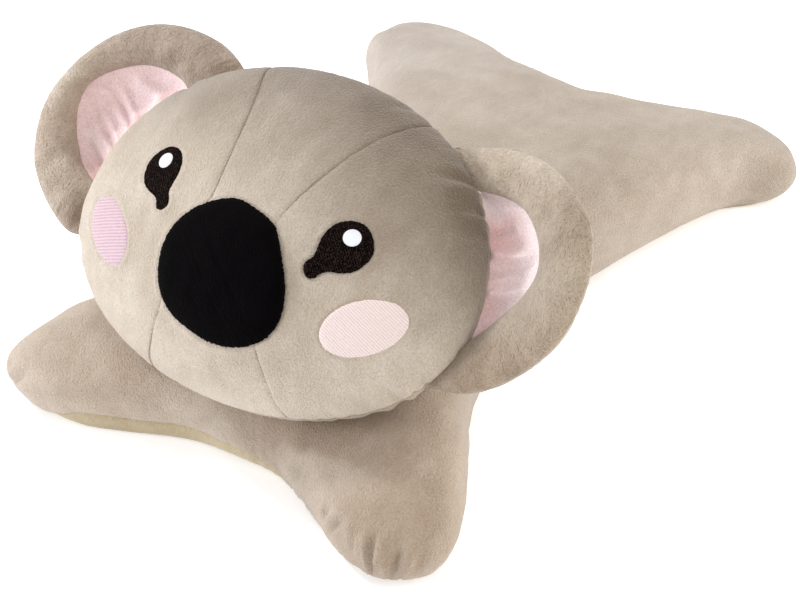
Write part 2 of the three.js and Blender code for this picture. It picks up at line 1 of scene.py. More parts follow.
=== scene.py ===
"""A plush koala lying on its belly, built as its sewn panels in the frame of the CAD part."""

import math

import bmesh
import bpy
import numpy as np
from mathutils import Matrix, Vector


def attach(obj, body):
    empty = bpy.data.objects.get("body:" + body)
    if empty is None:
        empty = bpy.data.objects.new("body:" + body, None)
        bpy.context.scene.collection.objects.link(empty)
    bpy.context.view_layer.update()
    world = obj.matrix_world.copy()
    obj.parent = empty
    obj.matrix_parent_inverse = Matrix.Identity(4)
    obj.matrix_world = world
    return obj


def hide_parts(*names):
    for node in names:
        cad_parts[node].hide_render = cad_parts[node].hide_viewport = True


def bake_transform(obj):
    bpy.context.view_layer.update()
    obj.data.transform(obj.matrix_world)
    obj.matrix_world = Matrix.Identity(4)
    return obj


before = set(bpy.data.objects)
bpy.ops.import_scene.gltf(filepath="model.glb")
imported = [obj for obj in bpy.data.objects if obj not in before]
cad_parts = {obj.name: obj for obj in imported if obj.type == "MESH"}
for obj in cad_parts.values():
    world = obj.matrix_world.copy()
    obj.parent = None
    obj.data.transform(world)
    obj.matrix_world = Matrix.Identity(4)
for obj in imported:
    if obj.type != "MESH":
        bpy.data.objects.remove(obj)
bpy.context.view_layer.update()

MM = 0.001  # the shapes below are worked out in millimetres
SIDES = {"left": 1, "right": -1}  # the koala's own

# Driving dimensions. The main lengths, heights and depths are the CAD part's own
BODY_LENGTH = 807
BACK_HEIGHT = 128  # crown of the back above the floor
TIP_HEIGHT = 63  # crown at the ends of the arms and legs, were they as full as the back
GIRTH_HEIGHT = 31  # height at which the body is widest
FLOOR_SHARE = 0.84  # of the way out, where the belly leaves the floor
SPINE_SHARE = 0.6  # of the way from the middle to each end, where the body's columns start
STUFFING_REACH = 24  # how far in from the outline the stuffing takes to stand full
SEAM_UNDER = 21  # rows from the widest row down to the seam between top and belly
SEAM_LIFT = 14  # rows by which the seam rides up over the right front paw
HEAD_HALF_WIDTH = 199
HEAD_CROWN = 167
HEAD_CHIN = 137
FACE_DEPTH = 86
BACK_DEPTH = 74
HEAD_CENTRE = np.array([0.0, -246.5, 178.42])
HEAD_TILT = math.radians(41)  # of the face, from looking straight up
RIM_POWER = 2.06  # of the rim's outline; 2 is an ellipse
FACE_SLOPE = 1.26  # the face's profile from its middle to the rim
FACE_ROUND = 0.51
BACK_ROUND = 0.58

# Outline of the body seen from above, from the front notch round the koala's left side
BODY_OUTLINE = [
    (0, -331), (49, -331), (99, -353), (165, -388), (207, -392), (240, -363), (221, -292),
    (172, -199), (138, -90), (139, 5), (157, 86), (189, 194), (225, 282), (264, 326),
    (232, 375), (176, 399), (114, 380), (0, 347), (-114, 378), (-176, 406), (-253, 400),
    (-276, 326), (-251, 282), (-222, 243), (-184, 190), (-144, 89), (-127, 5), (-134, -91),
    (-163, -201), (-215, -294), (-230, -358), (-203, -375), (-168, -375), (-96, -351),
    (-46, -332),
]
BODY_MIDDLE = np.array([0.0, -24.0])

# Half widths of the face's centre panel at heights up the face, to each side of its middle
PANEL_SEAMS = {
    "left": [
        (-127, 78), (-113, 68), (-97, 57), (-82, 49), (-40, 38), (8, 35), (48, 44), (88, 59),
        (119, 74), (150, 93),
    ],
    "right": [
        (-127, 61), (-116, 57), (-97, 52), (-79, 48), (-40, 37), (8, 31), (48, 36), (88, 45),
        (119, 56), (150, 73),
    ],
}

# Outlines of the nose and the left eye, across and up the face
NOSE_OUTLINE = [
    (-6, 20), (14, 18), (36, 10), (52, -12), (63, -34), (66, -56), (60, -73), (48, -84),
    (30, -92), (9, -95), (-11, -92), (-32, -86), (-46, -76), (-55, -62), (-59, -46),
    (-58, -27), (-49, -8), (-32, 8),
]
EYE_OUTLINE = [
    (91, 39), (102, 39), (112, 31), (117, 20), (115, 9), (109, 0), (100, -5), (90, -8),
    (85, -12), (82, -17), (76, -18), (71, -12), (72, -6), (75, -1), (75, 8), (75, 18), (80, 31),
]
EYE_CENTRE = (84, 2)  # from where the eye's whole outline can be seen
EYE_RISE = {"left": 0, "right": 8}  # how far up each eye is set
GLINT_CENTRE = (97, 25)
GLINT_RADIUS = 7.8
CHEEK_CENTRE = (131, -38)
CHEEK_HALF = (36.5, 20.5)
CHEEK_SLANT = math.radians(39)

# Outlines of each ear and of its pink lining, across and up the face, from crown to cheek
EAR_OUTLINES = {
    "right": [
        (103, 143), (125, 156), (151, 166), (180, 168), (207, 161), (230, 146), (250, 124),
        (266, 95), (276, 62), (276, 32), (268, 1), (252, -22), (232, -38), (210, -47), (188, -46),
    ],
    "left": [
        (115, 138), (138, 147), (162, 154), (190, 152), (216, 143), (243, 126), (265, 105),
        (278, 76), (281, 46), (277, 18), (265, -4), (248, -23), (229, -40), (207, -53), (182, -59),
    ],
}
LINING_OUTLINES = {
    "right": [
        (151, 111), (168, 120), (190, 124), (211, 120), (233, 104), (247, 86), (250, 68),
        (247, 50), (240, 33), (227, 16), (213, 7), (199, 1),
    ],
    "left": [
        (151, 110), (172, 112), (191, 109), (207, 99), (221, 83), (229, 65), (228, 47),
        (220, 28), (209, 7), (197, -13),
    ],
}
EAR_ROLL = 14  # how far the puffy edge stands forward of the ear's own seam
EAR_BACK = 17  # how far the ear's back stands behind it
EAR_PLANE = (167, 51, -25)  # a point in the tilted plane of the ear's seam, beyond its root
EAR_SLOPES = (0.388, 0.128)  # of that plane, across and up the face
EAR_ROOT_DEPTH = -3  # of the ear's seam where it meets the head
EAR_ROOT_REACH = 70  # how far out from the head the seam takes to reach its plane
EAR_TUCK = 0.98  # of the way to the rim seam, where the ear is sewn in
RIM_CLEAR = 24  # how far out from the head an ear takes to stand full
LINING_DISH = 9
LINING_DROP = 2.5  # how far the lining's seam is pulled back
# Soft folds across each lining: height up the face, how far out they reach, width and rise
LINING_FOLDS = {
    "left": [(64, 0.75, 6, 10), (30, 0.7, 6, 10)],
    "right": [(70, 0.9, 7, 3.5), (100, 0.8, 8, 3.5), (40, 0.7, 8, 3.0)],
}
# Creases in each lining and ring, across and up the face: (start, end, width, depth)
LINING_CREASES = {
    "left": [((176, 80), (190, 101), 3.5, 6.0), ((191, 48), (209, 69), 3.5, 6.0)],
    "right": [
        ((206, 73), (244, 103), 3.0, 5.0), ((206, 42), (250, 74), 3.0, 5.0),
        ((214, 24), (248, 43), 3.0, 4.0),
    ],
}
RING_CREASES = {
    "left": [((272, 106), (236, 118), 3.0, 2.0), ((262, 0), (236, 14), 4.0, 1.6)],
    "right": [
        ((232, -42), (210, -14), 3.0, 3.6), ((208, -50), (198, -26), 3.5, 2.6),
        ((262, -8), (240, 8), 4.5, 1.6), ((250, 128), (232, 112), 4.5, 1.4),
    ],
}
NECK_CENTRE = np.array([0.0, -206.25, 111.94])
NECK_LENGTH = 64
NECK_DIAMETER = 7
STITCH_PITCH = 2.8
STITCH_HALF_LENGTH = 0.95
STITCH_HALF_WIDTH = 0.42
STITCH_SINK = 1.25  # of a stitch's middle below the face
NOSE_SPAN = (-88, 12)  # heights up the face between which the nose hides the seams


# Curves and random fields
def cubics(start, leave, end, arrive):
    """Points along the cubic curves from each start to its end, with the slopes there."""
    t = np.linspace(0, 1, 16, endpoint=False)[:, None, None]
    curve = (
        (2 * t**3 - 3 * t**2 + 1) * start
        + (t**3 - 2 * t**2 + t) * leave
        + (3 * t**2 - 2 * t**3) * end
        + (t**3 - t**2) * arrive
    )
    return np.swapaxes(curve, 0, 1).reshape(-1, start.shape[1])


def closed_curve(points, count):
    """A smooth closed curve through points, as count points evenly spaced along it."""
    knots = np.array(points, float)
    before, after, beyond = (np.roll(knots, steps, 0) for steps in (1, -1, -2))
    first, span, last = (
        np.sqrt(np.linalg.norm(run, axis=1))[:, None]
        for run in (knots - before, after - knots, beyond - after)
    )
    leave = ((knots - before) / first - (after - before) / (first + span)) * span + after - knots
    arrive = after - knots + ((beyond - after) / last - (beyond - knots) / (span + last)) * span
    return spread(cubics(knots, leave, after, arrive), count, True)


def open_curve(points, count):
    """The same for an open curve."""
    knots = np.array(points, float)
    slopes = np.gradient(knots, axis=0)
    dense = cubics(knots[:-1], slopes[:-1], knots[1:], slopes[1:])
    return spread(np.vstack([dense, knots[-1:]]), count, False)


def spread(curve, count, closed):
    """count points evenly spaced along a dense curve."""
    if closed:
        curve = np.vstack([curve, curve[:1]])
    along = np.r_[0, np.cumsum(np.linalg.norm(np.diff(curve, axis=0), axis=1))]
    places = np.linspace(0, along[-1], count, endpoint=not closed)
    return np.stack([np.interp(places, along, c) for c in curve.T], 1)


def random_field(points, size, seed):
    """Smooth random values, mostly between -1 and 1, that change over the given size."""
    points = np.asarray(points, float)
    rng = np.random.default_rng(seed)
    waves = unit(rng.normal(size=(16, points.shape[-1])))
    waves *= 2 * math.pi / size * rng.uniform(0.6, 1.4, (16, 1))
    phases = rng.uniform(0, 2 * math.pi, 16)
    return np.sin(points @ waves.T + phases).sum(-1) / 5.6


def ripples(along, size, seed):
    """Valleys of uneven spacing and depth, from 0 to 1, at distances along a seam."""
    wander = 0.9 * size * random_field(along[..., None], 5 * size, seed)
    wave = 0.5 + 0.5 * np.cos(2 * math.pi * (along + wander) / size)
    depth = np.clip(0.6 + 0.5 * random_field(along[..., None], 2.5 * size, seed + 1), 0, 1.3)
    return wave**2 * depth


def smoothstep(low, high, value):
    t = np.clip((value - low) / (high - low), 0, 1)
    return t * t * (3 - 2 * t)


def bump(distance, width):
    return np.exp(-((distance / width) ** 2))


def eased(count):
    """count values from 0 to 1, closer together towards both ends."""
    return (1 - np.cos(np.linspace(0, math.pi, count))) / 2


def full_turn(count):
    return np.linspace(0, 2 * math.pi, count, endpoint=False)


def unit(vectors):
    return vectors / np.maximum(np.linalg.norm(vectors, axis=-1, keepdims=True), 1e-9)


def grid_normals(grid, inside):
    """Unit normals over a closed grid of points, facing away from the point inside."""
    padded = np.concatenate([grid[:, -1:], grid, grid[:, :1]], 1)
    across = padded[:, 2:] - padded[:, :-2]
    normals = unit(np.cross(np.gradient(grid, axis=0), across))
    return -normals if np.sum(normals * (grid - inside)) < 0 else normals


# Meshes
def skin(name, grids, material, body, inside, nodes=()):
    """One piece, a smooth mesh over grids of points in mm; each grid is (points, closed)."""
    mesh_data = bmesh.new()
    for grid, closed in grids:
        rows, columns = grid.shape[:2]
        index = np.arange(rows * columns).reshape(rows, columns)
        if closed:
            index = np.concatenate([index, index[:, :1]], 1)
        quads = np.stack([index[:-1, :-1], index[:-1, 1:], index[1:, 1:], index[1:, :-1]], -1)
        part = bpy.data.meshes.new("part")
        corners = (grid.reshape(-1, 3) * MM).tolist()
        part.from_pydata(corners, [], quads.reshape(-1, 4).tolist())
        mesh_data.from_mesh(part)
        bpy.data.meshes.remove(part)
    bmesh.ops.remove_doubles(mesh_data, verts=mesh_data.verts, dist=0.00002)
    mesh = bpy.data.meshes.new(name)
    mesh_data.normal_update()
    facing = sum(
        (f.calc_center_median() - Vector(inside * MM)).dot(f.normal) * f.calc_area()
        for f in mesh_data.faces
    )
    if facing < 0:
        bmesh.ops.reverse_faces(mesh_data, faces=mesh_data.faces)
    mesh_data.to_mesh(mesh)
    mesh_data.free()
    mesh.polygons.foreach_set("use_smooth", [True] * len(mesh.polygons))
    mesh.materials.append(material)
    piece = bpy.data.objects.new(name, mesh)
    bpy.context.collection.objects.link(piece)
    if nodes:
        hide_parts(*nodes)
    if body:
        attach(piece, body)
    return piece


# Materials
def add(tree, kind, inputs=(), **settings):
    """A shader node with the given inputs."""
    node = tree.nodes.new(kind)
    for key, value in settings.items():
        setattr(node, key, value)
    return set_inputs(tree, node, inputs)


def set_inputs(tree, node, inputs):
    """The node with its inputs set, each given as (socket, value or output)."""
    for key, value in inputs:
        socket = node.inputs[key]
        if isinstance(value, bpy.types.NodeSocket):
            tree.links.new(value, socket)
        else:
            socket.default_value = value
    return node


def noise(tree, coords, scale, detail=2.0, roughness=0.5):
    inputs = [("Vector", coords), ("Scale", scale), ("Detail", detail), ("Roughness", roughness)]
    return add(tree, "ShaderNodeTexNoise", inputs).outputs["Fac"]


def remap(tree, value, low, high, to_low=0.0, to_high=1.0):
    inputs = [("Value", value), ("From Min", low), ("From Max", high)]
    inputs += [("To Min", to_low), ("To Max", to_high)]
    return add(tree, "ShaderNodeMapRange", inputs).outputs["Result"]


def maths(tree, operation, a, b):
    return add(tree, "ShaderNodeMath", [(0, a), (1, b)], operation=operation).outputs[0]


def mix(tree, share, a, b, blend="MIX"):
    inputs = [(0, share), (6, a), (7, b)]
    return add(tree, "ShaderNodeMix", inputs, data_type="RGBA", blend_type=blend).outputs[2]


def bumped(tree, height, distance, normal=None):
    inputs = [("Height", height), ("Distance", distance), ("Strength", 1.0)]
    if normal is not None:
        inputs.append(("Normal", normal))
    return add(tree, "ShaderNodeBump", inputs).outputs["Normal"]


def rgb(red, green, blue):
    """A colour written as it looks, 0 to 255, as the shader's linear values."""
    def linear(value):
        value /= 255
        return value / 12.92 if value <= 0.04045 else ((value + 0.055) / 1.055) ** 2.4

    return (linear(red), linear(green), linear(blue), 1.0)


def new_material(name):
    """A material with its tree, object coordinates and principled shader."""
    material = bpy.data.materials.new(name)
    material.use_nodes = True
    tree = material.node_tree
    shader = tree.nodes["Principled BSDF"]
    coords = tree.nodes.new("ShaderNodeTexCoord").outputs["Object"]
    return material, tree, shader, coords


def stretched(tree, coords, scale, rotation=(0, 0, 0)):
    inputs = [("Vector", coords), ("Scale", scale), ("Rotation", rotation)]
    return add(tree, "ShaderNodeMapping", inputs).outputs["Vector"]


def measured(tree, coords, operation, vector):
    """How far a place is from a point, by DISTANCE, or along a direction, by DOT_PRODUCT."""
    inputs = [(0, coords), (1, vector)]
    return add(tree, "ShaderNodeVectorMath", inputs, operation=operation).outputs["Value"]


def wandering(tree, coords, value, scale, sway):
    """A value moved to and fro by noise, so that an edge drawn by it is uneven."""
    wander = remap(tree, noise(tree, coords, scale, 3), 0.3, 0.7, -sway, sway)
    return maths(tree, "ADD", value, wander)


def plush(name, pale, deep, sheen, pile=0.0005, shag=0.0, nap_and_painted_shade=None, painted_light_and_shade=(), specular=0.1):
    """Short brushed pile: patches where the pile lies over, fine flecks and soft sheen.

    nap_and_painted_shade is (direction, low, high, tint), a tint that grows from low to high,
    for the lie of the pile and for painted shade. Each of painted_light_and_shade is (centre,
    radius, tint), painted light where the tint is above 1 and painted shade where it is below,
    cut off from high to low where (direction, low, high) follows it.
    """
    material, tree, shader, coords = new_material(name)
    patches = noise(tree, coords, 11, 4, 0.55)
    streaks = noise(tree, stretched(tree, coords, (1, 0.35, 0.6), (0.4, 0.2, 0.5)), 70, 3, 0.6)
    lying = maths(tree, "ADD", patches, maths(tree, "MULTIPLY", streaks, 0.5))
    colour = mix(tree, remap(tree, lying, 0.6, 0.95), deep, pale)
    # A tint for the nap that is partly painted shade
    if nap_and_painted_shade is not None:
        direction, low, high, shade = nap_and_painted_shade
        place = wandering(tree, coords, measured(tree, coords, "DOT_PRODUCT", direction), 9, 0.03)
        colour = mix(tree, remap(tree, place, low, high), colour, (*shade, 1), "MULTIPLY")
    # Spots of painted light and painted shade
    for centre, radius, shade, *cut in painted_light_and_shade:
        away = measured(tree, coords, "DISTANCE", centre)
        near = wandering(tree, coords, away, 14, 0.2 * radius)
        share = remap(tree, near, radius, 0.35 * radius)
        for direction, low, high in cut:
            along = measured(tree, coords, "DOT_PRODUCT", direction)
            place = wandering(tree, coords, along, 30, 0.004)
            share = maths(tree, "MULTIPLY", share, remap(tree, place, low, high))
        colour = mix(tree, share, colour, (*shade, 1), "MULTIPLY")
    fleck = noise(tree, coords, 1500, 2, 0.6)
    tips = noise(tree, stretched(tree, coords, (1, 0.65, 0.85), (0.5, 0.3, 0.7)), 680, 2, 0.55)
    fine, coarse = maths(tree, "MULTIPLY", fleck, 0.4), maths(tree, "MULTIPLY", tips, 0.6)
    shade = maths(tree, "ADD", fine, coarse)
    darker = mix(tree, 1.0, colour, (0.87, 0.85, 0.83, 1), "MULTIPLY")
    lighter = mix(tree, 1.0, colour, (1.1, 1.1, 1.11, 1), "MULTIPLY")
    colour = mix(tree, remap(tree, shade, 0.38, 0.62), darker, lighter)
    normal = bumped(tree, fleck, pile)
    normal = bumped(tree, tips, pile * 4, normal)
    if shag:
        clumps = noise(tree, stretched(tree, coords, (1, 1, 0.7)), 150, 4, 0.7)
        normal = bumped(tree, clumps, shag, normal)
    dullness = remap(tree, tips, 0.3, 0.7, 0.78, 0.95)
    inputs = [("Base Color", colour), ("Normal", normal), ("Roughness", dullness)]
    inputs += [("Specular IOR Level", specular), ("Sheen Weight", sheen)]
    inputs += [("Sheen Roughness", 0.45), ("Sheen Tint", (1, 0.97, 0.94, 1))]
    set_inputs(tree, shader, inputs)
    return material


def embroidery(
    name, colour, shadow, pitch, turn, sheen=0.0, roughness=0.45, step=0.0003, gloss=0.15,
    rows=0.6, tips=(0.25, 0.8), length=4.0,
):
    """Rows of flat stitches, threads side by side and split into stitches of uneven length.

    rows is the rows' share of the relief, and tips the heights of shadow and of full colour.
    """
    material, tree, shader, coords = new_material(name)
    threads = stretched(tree, coords, (1, 1, 1), turn)
    inputs = [("Vector", threads), ("Scale", 0.314 / pitch), ("Distortion", 1.2)]
    inputs += [("Detail", 2.0), ("Detail Scale", 2.0)]
    wave = add(tree, "ShaderNodeTexWave", inputs, wave_type="BANDS", bands_direction="X")
    splits = noise(tree, stretched(tree, threads, (1.0, 1 / length, 1.0)), 900, 2, 0.6)
    ridges = maths(tree, "MULTIPLY", wave.outputs["Fac"], rows)
    height = maths(tree, "ADD", ridges, maths(tree, "MULTIPLY", splits, 1.2 - rows))
    dullness = remap(tree, splits, 0.3, 0.7, roughness - 0.1, roughness + 0.15)
    shown = mix(tree, remap(tree, height, *tips), shadow, colour)
    normal = bumped(tree, height, step)
    inputs = [("Base Color", shown), ("Normal", normal), ("Roughness", dullness)]
    inputs += [("Specular IOR Level", gloss), ("Sheen Weight", sheen)]
    set_inputs(tree, shader, inputs)
    return material


# Colours, with tints by place in metres: the face's tint is partly nap and partly painted
# shade, and the spots are painted light and shade, with painted shade for the light lost in
# hollows and under the head
PALE, DEEP = rgb(206, 194, 178), rgb(188, 173, 155)
BODY_PALE, BODY_DEEP = rgb(189, 176, 161), rgb(171, 156, 140)
# Darker towards the top of the face on the koala's left: partly nap, partly painted shade
FACE_NAP_AND_PAINTED_SHADE = ((0.27, 0.74, 0.616), -0.084, 0.078, (0.32, 0.287, 0.255))
# Painted shade in the hollow under the chin
CHIN_PAINTED_SHADOW = ((0.05, -0.3, 0.1), 0.11, (0.84, 0.82, 0.8))
# Painted shadow of the head on the near paw, cut off along the paw's crest
CREST_PAINTED_SHADOW = ((0.06, -0.31, 0.08), 0.14, (0.74, 0.69, 0.64), ((0.08, 1, 0), -0.334, -0.326))
# Painted shade low at the front of the near front paw
PAW_PAINTED_SHADE = ((0.19, -0.38, 0.03), 0.09, (0.8, 0.76, 0.72))
BODY_PAINTED_LIGHT_AND_SHADE = [
    CHIN_PAINTED_SHADOW,
    CREST_PAINTED_SHADOW,
    PAW_PAINTED_SHADE,
    # Painted light: lighter, warmer front paws and lighter, cooler hind legs
    ((0.2, -0.36, 0.04), 0.22, (1.1, 1.07, 1.03)),
    ((-0.19, -0.35, 0.04), 0.24, (1.1, 1.07, 1.04)),
    ((-0.2, 0.33, 0.08), 0.2, (1.09, 1.12, 1.18)),
    ((0.19, 0.22, 0.06), 0.1, (1.08, 1.08, 1.1)),
]
body_plush = plush("body_plush", BODY_PALE, BODY_DEEP, 0.45, painted_light_and_shade=BODY_PAINTED_LIGHT_AND_SHADE)
face_plush = plush("face_plush", PALE, DEEP, 0.45, nap_and_painted_shade=FACE_NAP_AND_PAINTED_SHADE)
# Painted light where the ear rings catch light, painted shade where they turn away and where they meet
# the head
EAR_PAINTED_LIGHT_AND_SHADE = {
    "left": [
        ((0.18, -0.13, 0.26), 0.08, (1.28, 1.3, 1.32)),
        ((0.275, -0.18, 0.21), 0.1, (0.8, 0.76, 0.7)),
        ((0.25, -0.27, 0.14), 0.09, (0.94, 0.89, 0.83)),
    ],
    "right": [
        ((-0.276, -0.192, 0.192), 0.11, (1.22, 1.22, 1.25)),
        ((-0.2, -0.107, 0.269), 0.09, (0.88, 0.86, 0.88)),
        ((-0.122, -0.142, 0.27), 0.045, (0.66, 0.6, 0.56)),
        ((-0.203, -0.27, 0.155), 0.035, (0.66, 0.6, 0.56)),
    ],
}
EAR_PALE, EAR_DEEP = rgb(198, 183, 165), rgb(164, 146, 127)
ear_plush = {
    name: plush("ear_plush_" + name, EAR_PALE, EAR_DEEP, 0.5, 0.0006, 0.0028, painted_light_and_shade=painted_ear_light_and_shade)
    for name, painted_ear_light_and_shade in EAR_PAINTED_LIGHT_AND_SHADE.items()
}
ear_back_plush = plush("ear_back_plush", BODY_PALE, BODY_DEEP, 0.45)
# Pale and deep colour, sheen and spots of painted shadow where the head shades the lining;
# the left lining's colours are made paler than the right's as painted light
LINING_LOOKS = {
    "left": (
        rgb(255, 242, 242), rgb(253, 230, 231), 1.0, [
            ((0.18, -0.185, 0.225), 0.03, (0.9, 0.72, 0.7)),
            ((0.188, -0.222, 0.188), 0.032, (0.9, 0.75, 0.73)),
        ],
    ),
    "right": (
        rgb(246, 229, 227), rgb(236, 208, 206), 0.4, [
            ((-0.199, -0.225, 0.182), 0.026, (0.82, 0.66, 0.64)),
            ((-0.19, -0.206, 0.199), 0.026, (0.84, 0.7, 0.68)),
            ((-0.179, -0.189, 0.214), 0.026, (0.82, 0.66, 0.64)),
            ((-0.166, -0.17, 0.23), 0.026, (0.84, 0.7, 0.68)),
        ],
    ),
}
lining_plush = {
    name: plush("lining_plush_" + name, pale, deep, sheen, 0.0003, painted_light_and_shade=painted_light_and_shade)
    for name, (pale, deep, sheen, painted_light_and_shade) in LINING_LOOKS.items()
}
nose_plush = plush("nose_pile", rgb(8, 6, 7), rgb(4, 3, 4), 0.01, 0.0004, specular=0.02)
belly_knit = plush("belly_knit", rgb(182, 168, 140), rgb(170, 154, 125), 0.2, 0.0002)
neck_plush = plush("neck_plush", rgb(190, 175, 155), rgb(170, 153, 133), 0.3)
eye_thread = embroidery(
    "eye_stitching", rgb(54, 40, 35), rgb(1, 1, 1), 0.002, (0, 0.32, -0.7),
    roughness=0.8, gloss=0.02, rows=0.12, tips=(0.58, 0.82), length=1.2,
)
glint_thread = embroidery(
    "glint_stitching", rgb(236, 237, 241), rgb(206, 208, 217), 0.0007, (0, 0, 0.3),
    sheen=0.2, roughness=0.35, gloss=0.4,
)
cheek_thread = {
    "left": embroidery(
        "cheek_stitching_left", rgb(228, 212, 207), rgb(204, 180, 176), 0.0022, (0, 0.99, -0.72),
        sheen=0.1, roughness=0.6, rows=0.45,
    ),
    "right": embroidery(
        "cheek_stitching_right", rgb(196, 174, 179), rgb(166, 132, 141), 0.0028, (0, 1.92, -0.7),
        sheen=0.1, roughness=0.6, rows=0.36,
    ),
}
stitch_thread = embroidery(
    "seam_thread", rgb(150, 134, 116), rgb(112, 98, 84), 0.0006, (0, 0, 0), step=0.0004
)

# Body
BODY_COLUMNS = 960
TOP_ROWS = 130
UNDER_ROWS = 30
FLOOR_ROWS = 14
FIELD_CELL = 4.0  # size of the grid on which the body's fullness is solved
SETTLING_ROUNDS = 700


def distance_inside(points, edge):
    """Distance from points to a closed outline, negative outside it."""
    ends = np.roll(edge, -1, 0)
    runs = ends - edge
    result = np.empty(len(points))
    for k in range(0, len(points), 4000):
        some = points[k : k + 4000, None]
        share = np.clip(((some - edge) * runs).sum(-1) / (runs**2).sum(-1), 0, 1)
        near = np.linalg.norm(some - edge - share[..., None] * runs, axis=-1).min(1)
        spans = (edge[:, 1] > some[..., 1]) != (ends[:, 1] > some[..., 1])
        cross = edge[:, 0] + (some[..., 1] - edge[:, 1]) / (runs[:, 1] + 1e-12) * runs[:, 0]
        odd = (spans & (some[..., 0] < cross)).sum(1) % 2
        result[k : k + 4000] = np.where(odd == 1, near, -near)
    return result


def fullness_field(edge):
    """How full the stuffing stands, 0 at the outline and nearly 1 far inside, on a grid.

    Each cell settles between its neighbours' mean and full, as a skin blown up from below does.
    The grid holds fullness over distance, which stays smooth across the outline.
    """
    low, high = edge.min(0) - 6 * FIELD_CELL, edge.max(0) + 6 * FIELD_CELL
    axes = (np.arange(first, last, FIELD_CELL) for first, last in zip(low, high))
    places = np.stack(np.meshgrid(*axes, indexing="ij"), -1)
    distance = distance_inside(places.reshape(-1, 2), edge[::3]).reshape(places.shape[:2])
    weight = (STUFFING_REACH / FIELD_CELL) ** 2

    def around(field):
        up, down = np.roll(field, 1, 0), np.roll(field, -1, 0)
        return (up + down + np.roll(field, 1, 1) + np.roll(field, -1, 1)) / 4

    fullness = np.zeros_like(distance)
    for _ in range(SETTLING_ROUNDS):
        settled = (1 + 4 * weight * around(fullness)) / (1 + 4 * weight)
        fullness = np.where(distance > 0, settled, 0)
    trusted = distance > 1.5 * FIELD_CELL
    known = trusted.astype(float)
    ratio = np.where(trusted, fullness / np.maximum(distance, FIELD_CELL), 0)
    for _ in range(12):
        reached = around(known)
        spreading = around(ratio * known) / np.maximum(reached, 1e-6)
        ratio = np.where(trusted, ratio, spreading)
        known = np.where(trusted, 1.0, reached > 0)
    return low, distance, ratio


def field_at(field, low, x, y):
    """A field's smooth value at places, by cubic B-splines over its grid."""
    across, up = (x - low[0]) / FIELD_CELL, (y - low[1]) / FIELD_CELL
    i, j = np.floor(across).astype(int), np.floor(up).astype(int)

    def weights(t):
        second = (3 * t**3 - 6 * t**2 + 4) / 6
        third = (-3 * t**3 + 3 * t**2 + 3 * t + 1) / 6
        return (1 - t) ** 3 / 6, second, third, t**3 / 6

    total = 0
    for a, wide in enumerate(weights(across - i)):
        for b, tall in enumerate(weights(up - j)):
            total = total + wide * tall * field[i + a - 1, j + b - 1]
    return total


def spine_line(edge):
    """How far along the body's middle line each column starts, in order along that line."""
    spine = BODY_MIDDLE[1] + SPINE_SHARE * (edge[:, 1] - BODY_MIDDLE[1])
    index = np.arange(len(edge))
    for end in (-1, 1):
        tips = [np.argmax(np.where(side * edge[:, 0] > 0, end * edge[:, 1], -1e9)) for side in (1, -1)]
        limit = min(end * spine[tips])
        between = (index > tips[0]) & (index < tips[1])
        if end < 0:
            between = (index < tips[0]) | (index > tips[1])
        spine = np.where(between | (end * spine > limit), end * limit, spine)
    return spine


def body_section(edge):
    """Points down the body's surface from its crown to its flat belly, for each column."""
    low, distance, ratio = fullness_field(edge)
    at_edge = field_at(distance, low, edge[:, 0], edge[:, 1])
    spine = spine_line(edge)

    def place(share):
        return edge[:, 0] * share, spine + (edge[:, 1] - spine) * share

    rows = []
    for angle in np.linspace(0, math.pi / 2, TOP_ROWS):
        share = math.sin(angle) ** (2 / 2.3)
        x, y = place(share)
        along = np.abs(y - BODY_MIDDLE[1]) / (BODY_LENGTH / 2)
        crown = BACK_HEIGHT + (TIP_HEIGHT - BACK_HEIGHT) * along**1.6
        away = field_at(distance, low, x, y) - at_edge * share**12
        full = np.clip(away, 0, None) * field_at(ratio, low, x, y)
        swell = np.sqrt(np.clip(1 - np.clip(1 - full, 0, 1) ** 0.85, 0, 1))
        rows.append(np.stack([x, y, GIRTH_HEIGHT + (crown - GIRTH_HEIGHT) * swell], 1))
    for angle in np.linspace(math.pi / 2, 0, UNDER_ROWS + 1)[1:]:
        x, y = place(FLOOR_SHARE + (1 - FLOOR_SHARE) * math.sin(angle))
        rows.append(np.stack([x, y, 0 * x + GIRTH_HEIGHT * (1 - math.cos(angle))], 1))
    for share in np.linspace(FLOOR_SHARE, 0, FLOOR_ROWS + 1)[1:]:
        x, y = place(share)
        rows.append(np.stack([x, y, np.full_like(x, 0.6)], 1))
    return np.array(rows)


def sample_rows(grid, rows):
    """The grid at fractional rows, one list of rows for each column."""
    low = np.clip(np.floor(rows).astype(int), 0, len(grid) - 2)
    part = (rows - low)[..., None]
    column = np.arange(grid.shape[1])[None, :]
    return grid[low, column] * (1 - part) + grid[low + 1, column] * part


edge = closed_curve(BODY_OUTLINE, BODY_COLUMNS)
edge_along = np.arange(BODY_COLUMNS) * np.linalg.norm(np.roll(edge, -1, 0) - edge, axis=1).mean()
section = body_section(edge)
inside_body = np.array([0.0, -24.0, 40.0])
section_normals = grid_normals(section, inside_body)
settled = smoothstep(2, 22, np.arange(len(section)))[:, None, None]
section_normals = section_normals * settled + np.array([0.0, 0.0, 1.0]) * (1 - settled)
step_down = np.linalg.norm(np.diff(section, axis=0), axis=-1)
down = np.vstack([np.zeros(BODY_COLUMNS), np.cumsum(step_down, axis=0)])

# The seam lies under the bulge, but it rides up over the right front paw
raised = smoothstep(100, 0, edge[:, 0]) * smoothstep(-200, -130, edge[:, 0])
raised = raised * smoothstep(-290, -320, edge[:, 1])
seam_row = TOP_ROWS - 1 + SEAM_UNDER - SEAM_LIFT * raised
seam_down = np.array([np.interp(r, np.arange(len(down)), down[:, c]) for c, r in enumerate(seam_row)])

